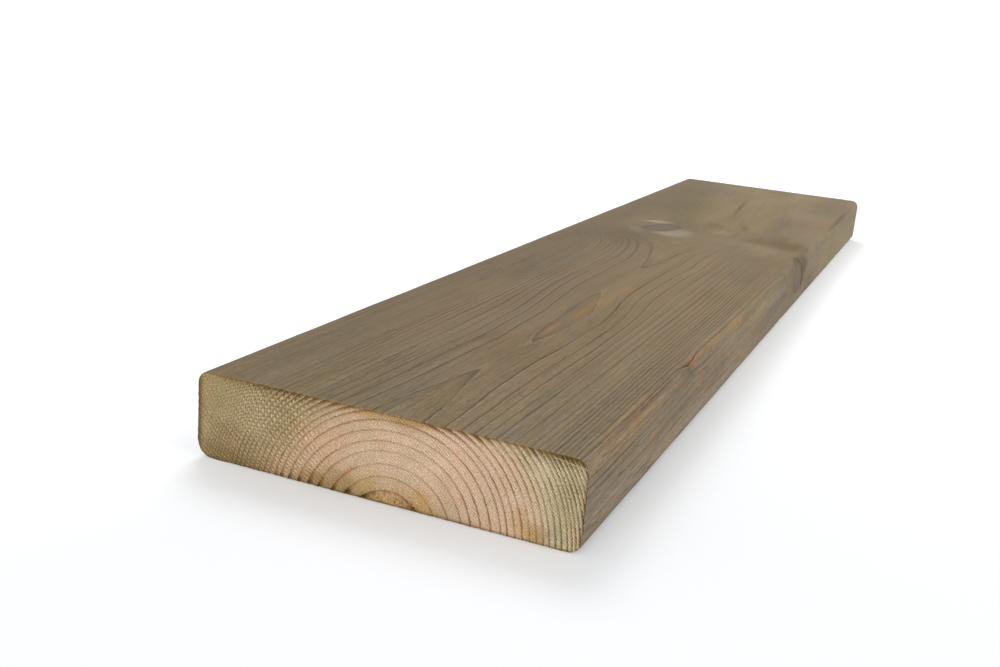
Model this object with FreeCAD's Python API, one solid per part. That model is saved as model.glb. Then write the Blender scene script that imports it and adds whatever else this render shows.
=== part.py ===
import FreeCAD, Part
import math
import os

# Short decking board: one length of planed softwood with eased long corners and square ends.
# It lies flat on its underside. X runs across the width, Y along the length, and Z up from the
# underside. The origin is at the middle of the underside, and the right edge is the +X one.

# Finished size after planing, in millimetres
board_width = 145.0
board_thickness = 32.0
board_length = 670.0

# Each long corner is rounded over by its own cutter on the planer, and they are not set alike
top_left_radius = 4.5
top_right_radius = 5.5
bottom_right_radius = 5.0
bottom_left_radius = 6.5


def rounded_corner(x_side, z_side, radius):
    """Return one corner's arc with its two ends: on the narrow edge, and on the wide face.

    x_side is -1 for the left edge and 1 for the right one.
    z_side is -1 for the underside and 1 for the top face.
    """
    centre_x = x_side * (board_width / 2 - radius)
    centre_z = radius if z_side < 0 else board_thickness - radius
    diagonal = radius * math.sqrt(0.5)
    on_edge = FreeCAD.Vector(centre_x + x_side * radius, 0, centre_z)
    on_face = FreeCAD.Vector(centre_x, 0, centre_z + z_side * radius)
    middle = FreeCAD.Vector(centre_x + x_side * diagonal, 0, centre_z + z_side * diagonal)
    return Part.Arc(on_edge, middle, on_face).toShape(), on_edge, on_face


def end_outline():
    """Return the closed outline of the board's end: four flat sides joined by four arcs."""
    top_left, top_left_on_edge, top_left_on_face = rounded_corner(-1, 1, top_left_radius)
    top_right, top_right_on_edge, top_right_on_face = rounded_corner(1, 1, top_right_radius)
    low_right, low_right_on_edge, low_right_on_face = rounded_corner(1, -1, bottom_right_radius)
    low_left, low_left_on_edge, low_left_on_face = rounded_corner(-1, -1, bottom_left_radius)
    top_face = Part.makeLine(top_left_on_face, top_right_on_face)
    right_edge = Part.makeLine(top_right_on_edge, low_right_on_edge)
    underside = Part.makeLine(low_right_on_face, low_left_on_face)
    left_edge = Part.makeLine(low_left_on_edge, top_left_on_edge)
    return Part.Wire([top_left, top_face, top_right, right_edge,
                      low_right, underside, low_left, left_edge])


def make_decking_board():
    """Run the end's outline along the whole length, with both ends cut square."""
    near_end = Part.Face(end_outline())
    near_end.translate(FreeCAD.Vector(0, -board_length / 2, 0))
    return near_end.extrude(FreeCAD.Vector(0, board_length, 0))


decking_board = make_decking_board()
os.makedirs("parts", exist_ok=True)
decking_board.exportStep("parts/decking_board.step")

box = decking_board.BoundBox
print("decking board %.1f x %.1f x %.1f mm" % (box.XLength, box.YLength, box.ZLength))
print("solids %d, valid %s" % (len(decking_board.Solids), decking_board.isValid()))
print("volume %.1f cm3" % (decking_board.Volume / 1000))
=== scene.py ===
import math
import bpy
import numpy as np
from mathutils import Matrix, Vector


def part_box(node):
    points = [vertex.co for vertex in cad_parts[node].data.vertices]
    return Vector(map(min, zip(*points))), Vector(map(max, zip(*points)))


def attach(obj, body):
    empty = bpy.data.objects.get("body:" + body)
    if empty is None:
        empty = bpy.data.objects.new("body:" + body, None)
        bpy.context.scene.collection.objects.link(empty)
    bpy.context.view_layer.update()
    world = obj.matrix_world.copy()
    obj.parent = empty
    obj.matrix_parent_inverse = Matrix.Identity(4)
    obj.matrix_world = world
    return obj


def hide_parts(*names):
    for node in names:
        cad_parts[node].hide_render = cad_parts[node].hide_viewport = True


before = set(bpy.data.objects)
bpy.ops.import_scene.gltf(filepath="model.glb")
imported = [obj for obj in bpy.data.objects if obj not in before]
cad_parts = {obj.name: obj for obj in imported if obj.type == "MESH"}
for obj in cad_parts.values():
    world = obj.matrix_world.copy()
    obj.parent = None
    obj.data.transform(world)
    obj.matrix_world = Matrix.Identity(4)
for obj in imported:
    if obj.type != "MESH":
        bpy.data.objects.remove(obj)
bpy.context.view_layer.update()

# One length of planed and treated softwood, lying flat. Board places are in millimetres:
# across the width (left to right), along the length (near end to far end), and up.
boardLow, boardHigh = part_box("decking_board")
metre = 0.001

board = {
    "halfWidth": (boardHigh[0] - boardLow[0]) / 2 / metre,
    "halfLength": (boardHigh[1] - boardLow[1]) / 2 / metre,
    "thickness": (boardHigh[2] - boardLow[2]) / metre,
    "cornerRadius": {"topLeft": 4.5, "topRight": 5.5, "lowRight": 5.0, "lowLeft": 6.5},
    "meshAcross": 232,  # faces along the top, and again along the underside
    "meshUp": 44,  # faces up each narrow edge
    "rowStep": 9.0,  # from row to row on plain grain
    "knotRowStep": 2.6,  # from row to row through the knots
    "knotRows": (-50.0, 140.0),
    "endRows": (0.0, 0.35, 0.9, 1.8, 3.2, 5.4),  # rows close to each sawn end
}

# The tree that the board was sawn from: where its pith runs, how wide its rings are
trunk = {
    "pithAcross": [(-335, 3.0), (60, 3.2), (110, 2.8), (165, 0.5), (245, -5.5), (335, -13.0)],
    "pithHeight": [(-335, -6.9), (-100, -6.9), (110, -6.9), (225, -7.2), (335, -7.0)],
    # the young tree's own bends, which the later rings smoothed out
    "youngAcross": [(-335, -0.4), (-310, 0.1), (-285, 0.1), (-270, 0.3), (-250, 0.6), (-225, 2.0), (-205, 1.7),
                    (-180, 1.7), (-163, 0.5), (-140, -2.0), (-123, -3.6), (-105, -3.9), (-80, -3.7), (-52, -3.2),
                    (-33, -2.4), (-8, -3.8), (8, -4.3), (60, -1.5), (110, 0.0), (335, 0.0)],
    "youngHeight": [(-335, 0.3), (-310, -0.23), (-297, -0.55), (-285, -0.73), (-270, -0.87), (-250, -1.02),
                    (-225, -0.95), (-205, -0.76), (-180, -0.61), (-163, -0.59), (-140, -0.8), (-123, -0.96),
                    (-105, -1.01), (-80, -0.94), (-52, -0.78), (-33, -0.58), (-8, -0.49), (8, -0.52),
                    (60, -0.9), (150, -0.6), (225, -1.0), (280, -0.6), (335, 0.0)],
    "youngUntil": (43.0, 56.0),
    "firstYears": (1.1, -1.3),  # how far aside and up the innermost rings lie
    "firstYearsUntil": (20.0, 38.5),
    # how far each year's ring reaches from the pith, and the width of every later ring
    "ringEdges": (2.5, 8.0, 13.3, 18.4, 23.05, 27.55, 30.85, 34.3, 37.75, 41.0, 43.15, 45.55, 47.8, 50.05,
                  52.15, 54.25, 56.05, 58.0, 59.8, 61.6, 62.95, 64.1, 65.35, 66.7),
    "laterRings": 1.2,
    "sapwoodFrom": 57.0,
    "ovalRings": 0.034,
    "leanRings": 0.034,
    "sideRings": 0.015,
    "unevenRings": 0.10,
}

# Each branch leaves the pith at its whorl and runs out and towards the near end.
# Its size and the swelling round it are shares of the distance from the pith.
knots = {
    "topKnot": {"turn": 120.6, "whorl": 135.0, "slope": 1.14, "size": 0.203, "swell": 0.30, "bendAlong": 32.0},
    "rightKnot": {"turn": 21.9, "whorl": 135.0, "slope": 1.226, "size": 0.148, "swell": 0.16, "bendAlong": 15.0},
    "leftKnot": {"turn": 166.7, "whorl": 135.0, "slope": 1.266, "size": 0.11, "swell": 0.15, "bendAlong": 30.0},
    "pinKnot": {"turn": 28.4, "whorl": -165.4, "slope": 0.60, "size": 0.033, "swell": 0.010, "bendAlong": 8.0},
}
bendAround = 0.42  # how far the grain bends round the trunk, as a share of the radius


def smoothStep(low, high, value):
    share = np.clip((value - low) / (high - low), 0, 1)
    return share * share * (3 - 2 * share)


def smoothPath(stations, place):
    at = np.array([station[0] for station in stations], float)
    value = np.array([station[1] for station in stations], float)
    slope = np.gradient(value, at)
    first = np.clip(np.searchsorted(at, place) - 1, 0, len(at) - 2)
    gap = at[first + 1] - at[first]
    t = np.clip((place - at[first]) / gap, 0, 1)
    return ((2 * t ** 3 - 3 * t ** 2 + 1) * value[first]
            + (t ** 3 - 2 * t ** 2 + t) * gap * slope[first]
            + (3 * t ** 2 - 2 * t ** 3) * value[first + 1]
            + (t ** 3 - t ** 2) * gap * slope[first + 1])


def ripple(seed, waveCount, *axes):
    # Smooth, repeatable unevenness of about -1 to 1. Each axis is a place and its wave length.
    rng = np.random.default_rng(seed)
    total = 0
    for _ in range(waveCount):
        phase = rng.uniform(0, 2 * math.pi)
        for place, waveLength in axes:
            phase = phase + place * (2 * math.pi / waveLength) * rng.normal(0, 1)
        total = total + np.sin(phase)
    return total / math.sqrt(waveCount / 2)


laterEdges = trunk["ringEdges"][-1] + trunk["laterRings"] * np.arange(1, 60)
ringEdges = np.concatenate([[0.0], trunk["ringEdges"], laterEdges])
ringNumbers = np.arange(len(ringEdges))


def treeField(x, y, z):
    # What the wood is at each point: its ring number and the other facts that the finishes read
    across = x - smoothPath(trunk["pithAcross"], y)
    up = z - smoothPath(trunk["pithHeight"], y)
    young = 1 - smoothStep(trunk["youngUntil"][0], trunk["youngUntil"][1], np.hypot(across, up))
    first = 1 - smoothStep(trunk["firstYearsUntil"][0], trunk["firstYearsUntil"][1], np.hypot(across, up))
    across = across - young * smoothPath(trunk["youngAcross"], y) - first * trunk["firstYears"][0]
    up = up - young * smoothPath(trunk["youngHeight"], y) - first * trunk["firstYears"][1]
    radius = np.hypot(across, up)
    turn = np.arctan2(up, across)
    outline = 1 + trunk["ovalRings"] * np.cos(2 * turn) + trunk["leanRings"] * np.sin(2 * turn)
    outline = outline + trunk["sideRings"] * np.cos(turn) * radius / 40
    meanRadius = radius / outline
    uneven = ripple(5, 7, (y, 260.0), (across, 60.0), (up, 60.0))
    meanRadius = meanRadius + trunk["unevenRings"] * np.clip(meanRadius / 10, 0, 1) * uneven
    growth = np.interp(meanRadius, ringEdges, ringNumbers)
    fibre = meanRadius * np.arctan2(across, up)
    reach = np.full(np.shape(growth), 9.0)
    for knot in knots.values():
        axisTurn = math.radians(knot["turn"])
        offTurn = np.arctan2(np.sin(turn - axisTurn), np.cos(turn - axisTurn))
        side = meanRadius * offTurn
        along = y - (knot["whorl"] - knot["slope"] * meanRadius)
        knotRadius = np.maximum(knot["size"] * meanRadius, 0.8)
        bendSide = (bendAround * meanRadius + 3) * knot["bendAlong"] / 32
        bend = np.sqrt((along / knot["bendAlong"]) ** 2 + (side / bendSide) ** 2 + 0.004)
        growth = growth - knot["swell"] * meanRadius * np.exp(-bend ** 1.25)
        lengthwise = along / math.hypot(1, knot["slope"])
        apart = np.hypot(side, lengthwise) / knotRadius
        fibre = fibre - side / np.maximum(apart, 1) ** 2 * 0.9
        reach = np.minimum(reach, apart)
    straightRadius = np.interp(growth, ringNumbers, ringEdges)
    ringWidth = np.diff(ringEdges)[np.clip(growth.astype(int), 0, len(ringEdges) - 2)]
    return {"growth": growth, "radius": meanRadius, "straightRadius": straightRadius, "turn": turn,
            "fibre": fibre, "reach": reach, "ringWidth": ringWidth}


def ringSpacing(x, y, z, normals):
    # How far apart the rings lie along the surface, in millimetres
    stepX = 0.3 * normals[:, 1]
    stepZ = -0.3 * normals[:, 0]
    around = treeField(x + stepX, y, z + stepZ)["growth"] - treeField(x - stepX, y, z - stepZ)["growth"]
    along = treeField(x, y + 1.5, z)["growth"] - treeField(x, y - 1.5, z)["growth"]
    return 1 / np.clip(np.hypot(around / 0.6, along / 3.0), 0.035, 2.0)


def latewoodShare(field, thickness):
    # 0 in the pale wood of each ring, rising to 1 at its dark edge
    share = np.clip(thickness / field["ringWidth"], 0.05, 0.9)
    place = field["growth"] - np.floor(field["growth"])
    rise = np.clip((place - (1 - share)) / share, 0, 1)
    return rise ** 1.4


print("tree: rings, pith and", len(knots), "branches set out")


def runAround():
    # The board's section as one run of points, clockwise from the top left corner seen from the near end
    halfWidth = board["halfWidth"]
    thickness = board["thickness"]
    corners = [("topLeft", -1, 1), ("topRight", 1, 1), ("lowRight", 1, -1), ("lowLeft", -1, -1)]
    arcs = []
    for name, side, face in corners:
        radius = board["cornerRadius"][name]
        centre = np.array([side * (halfWidth - radius), thickness / 2 + face * (thickness / 2 - radius)])
        middle = math.atan2(face, side)
        arcs.append((centre, radius, middle))
    points = []
    normals = []
    faceCounts = [board["meshAcross"], board["meshUp"], board["meshAcross"], board["meshUp"]]
    for index, faceCount in enumerate(faceCounts):
        startCentre, startRadius, startMiddle = arcs[index]
        endCentre, endRadius, endMiddle = arcs[(index + 1) % 4]
        startArc = startRadius * math.pi / 4
        endArc = endRadius * math.pi / 4
        outward = startMiddle - math.pi / 4
        direction = np.array([math.cos(outward), math.sin(outward)])
        lineStart = startCentre + startRadius * direction
        lineEnd = endCentre + endRadius * direction
        line = np.linalg.norm(lineEnd - lineStart)
        for step in range(faceCount):
            place = (startArc + line + endArc) * step / faceCount
            if place < startArc:
                angle = startMiddle - place / startRadius
                normal = np.array([math.cos(angle), math.sin(angle)])
                point = startCentre + startRadius * normal
            elif place < startArc + line:
                normal = direction
                point = lineStart + (lineEnd - lineStart) * (place - startArc) / line
            else:
                angle = outward - (place - startArc - line) / endRadius
                normal = np.array([math.cos(angle), math.sin(angle)])
                point = endCentre + endRadius * normal
            points.append(point)
            normals.append(normal)
    return np.array(points), np.array(normals)


def rowPlaces():
    # Where the cross rows stand along the length: close at the ends, closer through the knots
    halfLength = board["halfLength"]
    nearRows = [-halfLength + gap for gap in board["endRows"]]
    farRows = [halfLength - gap for gap in reversed(board["endRows"])]
    knotStart, knotEnd = board["knotRows"]
    middle = []
    for start, end, step in ((nearRows[-1], knotStart, board["rowStep"]),
                             (knotStart, knotEnd, board["knotRowStep"]),
                             (knotEnd, farRows[0], board["rowStep"])):
        count = max(1, round((end - start) / step))
        middle.extend(np.linspace(start, end, count, endpoint=False)[(1 if start == nearRows[-1] else 0):])
    return np.array(nearRows + middle + farRows)


def surfaceRelief(x, y, z, field, aroundPlace):
    # How deep each point of the planed faces lies under the plain section, in millimetres
    late = latewoodShare(field, 1.3)
    plain = smoothStep(1.0, 1.3, field["reach"])
    depth = 0.085 * (1 - late) * plain
    depth = depth + 0.035 * (1 + ripple(11, 6, (y, 90.0), (aroundPlace, 55.0)))
    depth = depth + 0.012 * (1 + np.sin(y * 2 * math.pi / 6.2 + ripple(12, 4, (aroundPlace, 60.0))))
    insideKnot = 1 - smoothStep(0.86, 1.0, field["reach"])
    knotEdge = np.exp(-((field["reach"] - 1.0) / 0.09) ** 2) * (field["radius"] > 20)
    depth = depth + 0.05 * insideKnot + 0.22 * knotEdge * smoothStep(-0.6, 0.6, ripple(13, 5, (y, 14.0), (x, 14.0)))
    return np.maximum(depth, 0)


def fromScreen(red, green, blue):
    # A colour as seen on a screen, 0 to 255, to the linear value that a shader takes
    value = np.stack([red, green, blue], axis=-1) / 255
    return np.where(value <= 0.04045, value / 12.92, ((value + 0.055) / 1.055) ** 2.4)


# The weathered faces. Colours are as seen on a screen. A patch is its face, its middle (across
# or up, then along), half its size (across or up, then along), its turn in degrees, colour, strength.
weathering = {
    # colours at stations along the board, from the near end to the far end; they grow paler towards the far end
    "stations": [-335, -230, -100, 0, 70, 180, 335],
    "top": [(128, 112, 87), (130, 113, 88), (134, 116, 90), (136, 118, 92), (135, 118, 94),
            (142, 125, 98), (144, 127, 102)],
    "edges": [(129, 114, 94), (131, 115, 94), (139, 123, 99), (135, 122, 100), (133, 120, 99),
              (147, 133, 107), (150, 136, 111)],
    "underside": [(141, 126, 101), (144, 128, 103), (146, 130, 104), (143, 127, 102), (139, 123, 99),
                  (146, 131, 106), (149, 134, 110)],
    "patches": [
        ("top", 9.0, -150, 4.6, 50, 0, (141, 118, 92), 0.65),
        ("top", -6.0, -302, 12, 32, 0, (122, 109, 90), 0.60),
        ("top", 10.0, -152, 2.2, 26, 0, (152, 120, 86), 0.80),
        ("top", 8.3, -201, 1.8, 16, 0, (156, 122, 88), 0.80),
        ("top", 4.0, -15, 5, 22, 0, (146, 124, 96), 0.50),
        ("top", -36.0, 37, 20, 38, 12, (119, 104, 82), 0.75),
        ("top", -60.0, -40, 13, 290, 0, (121, 107, 86), 0.90),
        ("top", -24.0, -125, 28, 60, 0, (126, 110, 88), 0.60),
        ("top", -25.0, -25, 28, 50, 0, (129, 113, 91), 0.60),
        ("top", 56.0, -35, 9, 60, 0, (131, 117, 95), 0.55),
        ("top", -8.0, 66, 10, 14, 0, (149, 135, 110), 0.40),
        ("top", 54.0, 20, 18, 16, 15, (125, 110, 85), 0.60),
        ("top", 35.0, -230, 9, 40, 0, (142, 121, 94), 0.50),
        ("top", -40.0, -90, 11, 100, 0, (124, 110, 88), 0.70),
        ("top", -58.0, 250, 22, 110, 0, (124, 112, 93), 0.85),
        ("top", -38.0, 275, 12, 40, 0, (124, 112, 94), 0.65),
        ("top", -36.0, 180, 24, 80, 6, (121, 109, 84), 0.90),
        ("top", 62.0, 275, 17, 60, 0, (132, 117, 96), 0.75),
        ("top", 57.0, 172, 14, 36, 0, (136, 120, 98), 0.70),
        ("top", -9.0, 67, 10, 14, 0, (158, 145, 118), 0.75),
        ("top", 52.0, 88, 17, 24, 34, (122, 105, 79), 0.72),
        ("top", 60.0, 78, 12, 16, 38, (118, 101, 75), 0.65),
        ("top", 44.0, 57, 7, 17, 52, (149, 131, 104), 0.75),
        ("top", -30.0, 99, 9, 4.5, 24, (168, 157, 133), 0.90),
        ("top", -13.0, 62, 8.5, 4.5, 24, (156, 147, 127), 0.85),
        ("top", -34.0, 62, 4, 12, 25, (148, 133, 108), 0.60),
        ("top", 16.0, 93, 6, 9, 0, (152, 139, 113), 0.60),
        ("top", 27.0, 64, 14, 10, 0, (145, 129, 99), 0.50),
        ("top", 40.0, 155, 7, 46, 3, (130, 113, 93), 0.80),
        ("top", -22.0, 285, 9.5, 20, 8, (135, 121, 104), 0.70),
        ("top", 2.1, 208, 1.6, 38, 5, (118, 104, 82), 0.85),
        ("top", -7.0, 150, 7, 26, 10, (135, 120, 96), 0.45),
        ("top", 23.0, 124, 3.0, 13, 12, (118, 103, 80), 0.70),
        ("right", 30.2, 232, 1.3, 50, 0, (112, 98, 80), 0.75),
        ("top", 4.0, 118, 5, 12, 30, (120, 106, 82), 0.60),
        ("top", -8.0, -226, 5, 6, 0, (113, 100, 82), 0.65),
        ("right", 28.6, -294, 5.0, 50, 0, (150, 124, 94), 0.70),
        ("top", 69.4, -286, 1.9, 34, 0, (150, 126, 98), 0.80),
        ("right", 8.0, -210, 6, 130, 0, (146, 133, 114), 0.75),
        ("right", 24.5, -42, 4.5, 52, 0, (156, 141, 110), 0.80),
        ("right", 15.5, -38, 4.5, 45, 0, (125, 114, 98), 0.80),
        ("right", 8.0, 62, 6, 26, 0, (153, 138, 115), 0.75),
        ("right", 8.0, 165, 6, 40, 0, (152, 140, 112), 0.60),
        ("right", 22.0, -228, 4, 26, 0, (126, 113, 94), 0.60),
        ("right", 25.0, 268, 6, 50, 0, (132, 119, 102), 0.70),
        ("right", 6.0, 268, 7, 60, 0, (161, 150, 120), 0.70),
        ("right", 30.6, -170, 1.3, 34, 0, (150, 118, 84), 0.60),
        ("right", 29.8, -125, 2.4, 20, 0, (154, 124, 88), 0.65),
        ("right", 24.0, -135, 4, 24, 0, (150, 131, 107), 0.55),
        ("top", 70.6, -272, 0.75, 50, 0, (112, 93, 75), 0.65),
        ("right", 30.0, -213, 2.6, 9, 0, (106, 90, 74), 0.80),
        ("right", 30.6, -202, 1.8, 5, 0, (164, 112, 78), 0.85),
        ("right", 21.0, 64, 10, 6.0, -14, (104, 90, 72), 0.85),
        ("right", 17.0, 49, 12, 4.5, -14, (156, 142, 119), 0.65),
        ("right", 24.0, 67, 5.5, 12, 0, (111, 99, 78), 0.85),
        ("right", 20.0, 28, 9, 9, 0, (138, 124, 104), 0.45),
        # painted shade: the lower arris of the right edge by the near end, darker and greener where it turns down
        # towards the floor
        ("right", 2.2, -290, 2.4, 80, 0, (108, 106, 92), 0.60),
        ("right", 12.0, 220, 16, 75, 0, (150, 138, 108), 0.50),
        ("right", 20.0, -20, 9, 50, 0, (130, 118, 100), 0.50),
        ("left", 12.0, 44, 9, 12, 0, (118, 103, 82), 0.55),
        ("underside", -20.0, 98, 22, 9, 30, (120, 103, 79), 0.50),
    ],
    "knot": (116, 105, 91),
    "knotHeart": (121, 109, 93),
    "knotEdge": (88, 77, 62),
    "freshEdgeAndHighlight": (156, 122, 78),  # the torn fibres along both cuts, with a painted highlight along each end's arris
}


def paintPatches(colour, faceShares, acrossPlace, upPlace, alongPlace, patches):
    for number, (face, middle, along, halfAcross, halfAlong, turn, patchColour, strength) in enumerate(patches):
        place = acrossPlace if face in ("top", "underside") else upPlace
        c = math.cos(math.radians(turn))
        s = math.sin(math.radians(turn))
        sideways = c * (place - middle) + s * (alongPlace - along)
        lengthways = c * (alongPlace - along) - s * (place - middle)
        ragged = 0.10 * ripple(100 + number, 6, (place, halfAcross * 2.6), (alongPlace, halfAlong * 2.2))
        apart = np.hypot(sideways / halfAcross, lengthways / halfAlong) + ragged
        share = strength * (1 - smoothStep(0.25, 1.5, apart)) * faceShares[face]
        colour = colour + (np.array(patchColour, float) - colour) * share[..., None]
    return colour


def weatheredTint(x, y, z, normals, field):
    faceShares = {"top": smoothStep(0.2, 0.8, normals[..., 1]), "underside": smoothStep(0.2, 0.8, -normals[..., 1]),
                  "right": smoothStep(0.2, 0.8, normals[..., 0]), "left": smoothStep(0.2, 0.8, -normals[..., 0])}
    edges = np.abs(normals[..., 0]) ** 1.5
    colour = np.zeros(x.shape + (3,))
    for channel in range(3):
        topValue = np.interp(y, weathering["stations"], [c[channel] for c in weathering["top"]])
        edgeValue = np.interp(y, weathering["stations"], [c[channel] for c in weathering["edges"]])
        lowValue = np.interp(y, weathering["stations"], [c[channel] for c in weathering["underside"]])
        flatValue = np.where(normals[..., 1] > 0, topValue, lowValue)
        colour[..., channel] = flatValue + (edgeValue - flatValue) * edges
    colour = colour + 4.0 * smoothStep(0, 45, x)[..., None] * faceShares["top"][..., None]
    greenish = ripple(21, 9, (y, 330.0), (x, 60.0), (z, 60.0))[..., None]
    darker = ripple(22, 9, (y, 260.0), (x, 40.0), (z, 40.0))[..., None]
    colour = colour + greenish * np.array([-0.3, 0.1, -0.3]) + darker * np.array([1.6, 1.5, 1.3])
    colour = paintPatches(colour, faceShares, x, z, y, weathering["patches"])
    inKnot = (1 - smoothStep(0.82, 1.02, field["reach"])) * smoothStep(14, 22, field["radius"])
    heart = 1 - smoothStep(0.1, 0.75, field["reach"] + 0.1 * ripple(23, 5, (y, 15.0), (x, 15.0)))
    knotColour = np.array(weathering["knot"], float) + (np.array(weathering["knotHeart"], float)
                                                         - weathering["knot"]) * heart[..., None]
    colour = colour + (knotColour - colour) * inKnot[..., None] * 0.92
    edge = np.exp(-((field["reach"] - 0.98) / 0.07) ** 2) * smoothStep(14, 22, field["radius"])
    edge = edge * smoothStep(-0.8, 0.7, ripple(24, 5, (y, 22.0), (x, 22.0)))
    colour = colour + (np.array(weathering["knotEdge"], float) - colour) * edge[..., None] * 0.55
    # fresh torn fibres along both cut ends, lightened as a painted highlight along the arris
    torn = np.exp(-((board["halfLength"] - np.abs(y)) / 0.45) ** 2) * (0.65 + 0.35 * ripple(25, 5, (x, 4.0), (z, 4.0)))
    colour = colour + (np.array(weathering["freshEdgeAndHighlight"], float) - colour) * torn[..., None] * 0.8
    return fromScreen(colour[..., 0], colour[..., 1], colour[..., 2])


def fineGrain(y, normals):
    # How plainly the finest fibres show: most by the near end, and more on the narrow edges
    edge = np.abs(normals[:, 0])
    far = smoothStep(-320, -110, y)
    return (1.0 - 0.88 * far) * (1 - edge) + (1.40 - 0.62 * far - 0.30 * smoothStep(0, 200, y)) * edge


def weatheredLines(x, y, z, normals, field):
    # How plainly the ring lines show: well on the near half, hardly on the smooth left strip and by the knots
    onTop = smoothStep(0.3, 0.8, normals[..., 1])
    onRight = smoothStep(0.3, 0.8, normals[..., 0])
    topLines = (1 - 0.38 * smoothStep(-120, -20, y)) * (1 - 0.92 * smoothStep(-20, 44, y + 0.35 * x))
    topLines = topLines * (1 - 0.75 * smoothStep(-44, -60, x + 0.03 * y))
    topLines = topLines * (1 + 0.30 * smoothStep(-18, -32, x) * smoothStep(-120, -190, y))
    firstLines = 1 - smoothStep(12.2, 13.0, field["growth"])
    topLines = topLines * (0.90 + 0.35 * firstLines)
    nearKnot = np.exp(-((y - 52) / 24) ** 2)
    rightLines = 0.30 - 0.20 * smoothStep(60, 150, y) + 0.70 * (1 - smoothStep(-215, -130, y)) + 0.45 * nearKnot
    return onTop * topLines + onRight * rightLines + (1 - onTop) * (1 - onRight) * 0.65


# The one open drying check, on the right edge below its knot: height and place along
sideCheck = [(-2.0, 72.0), (8.0, 68.0), (22.0, 62.0), (30.0, 49.0), (36.0, 35.0)]


def sideCheckGap(y, z):
    # Signed distance from the check, in millimetres
    return (y - smoothPath(sideCheck, z)) * 0.8


def sideCheckDepth(x, z):
    onEdge = 1 - smoothStep(2.0, 3.6, board["halfWidth"] - x)
    return onEdge * smoothStep(6.8, 8.6, z) * (1 - smoothStep(30.2, 31.6, z))


# The fresh sawn ends, in colours as seen on a screen
endColours = {
    "pith": (176, 143, 101),
    "heart": (199, 172, 145),
    "heartLeft": (190, 162, 131),
    "sapRight": (187, 171, 138),
    "sapLeft": (159, 140, 103),
    "lowMiddle": (138, 111, 72),
    "topRim": (154, 122, 76),
    "topRimLeft": (110, 87, 42),
    "topRimRight": (133, 104, 47),
    "otherRims": (106, 86, 54),
    "rightRim": (100, 80, 50),
    "leftRim": (82, 65, 38),
    "pithCrescent": (112, 92, 48),
    "patches": [  # middle across and up, half sizes, turn, colour, strength
        (3.5, 6.0, 16, 5, 0, (186, 157, 120), 0.70),
        (-5.0, 5.0, 4.5, 2.2, 40, (180, 152, 104), 0.75),
        (16.8, 4.2, 4.5, 3.4, -50, (186, 149, 98), 0.85),
        (3.5, 8.2, 4.5, 2.2, 0, (194, 164, 134), 0.80),
        (-8.0, 15.5, 5.0, 2.4, 25, (197, 174, 148), 0.60),
        (-11.2, 8.8, 4.2, 0.9, 44, (178, 128, 84), 0.60),
        (57.0, 3.0, 4.0, 2.6, 0, (140, 112, 70), 0.50),
        (3.5, 2.0, 8, 2.6, 0, (191, 159, 116), 0.85),
        (-20.0, 3.0, 13, 4.0, 10, (150, 122, 79), 0.80),
        (-18.5, 6.0, 2.5, 2.5, 0, (168, 152, 104), 0.60),
        (-11.0, 1.2, 1.6, 1.3, 0, (104, 84, 48), 0.85),
        (54.0, 3.0, 6.0, 4.0, -30, (181, 151, 99), 0.65),
        (51.5, 9.0, 2.0, 4.5, -10, (194, 152, 120), 0.45),
        (-58.0, 2.5, 14, 5, 0, (128, 107, 72), 0.80),
        (36.0, 18.0, 10, 14, -35, (199, 168, 142), 0.60),
        (-25.0, 14.0, 7, 10, 35, (190, 154, 126), 0.50),
        (65.5, 31.2, 9, 1.2, -9, (124, 100, 60), 0.75),
        (-58.0, 8.0, 9, 8, 0, (146, 125, 88), 0.45),
        (66.0, 16.0, 5, 12, -10, (168, 155, 118), 0.60),
        (-62.0, 26.0, 6, 5, 0, (152, 137, 97), 0.60),
        (-47.0, 20.0, 7, 9, 30, (164, 147, 113), 0.50),
    ],
}


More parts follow.
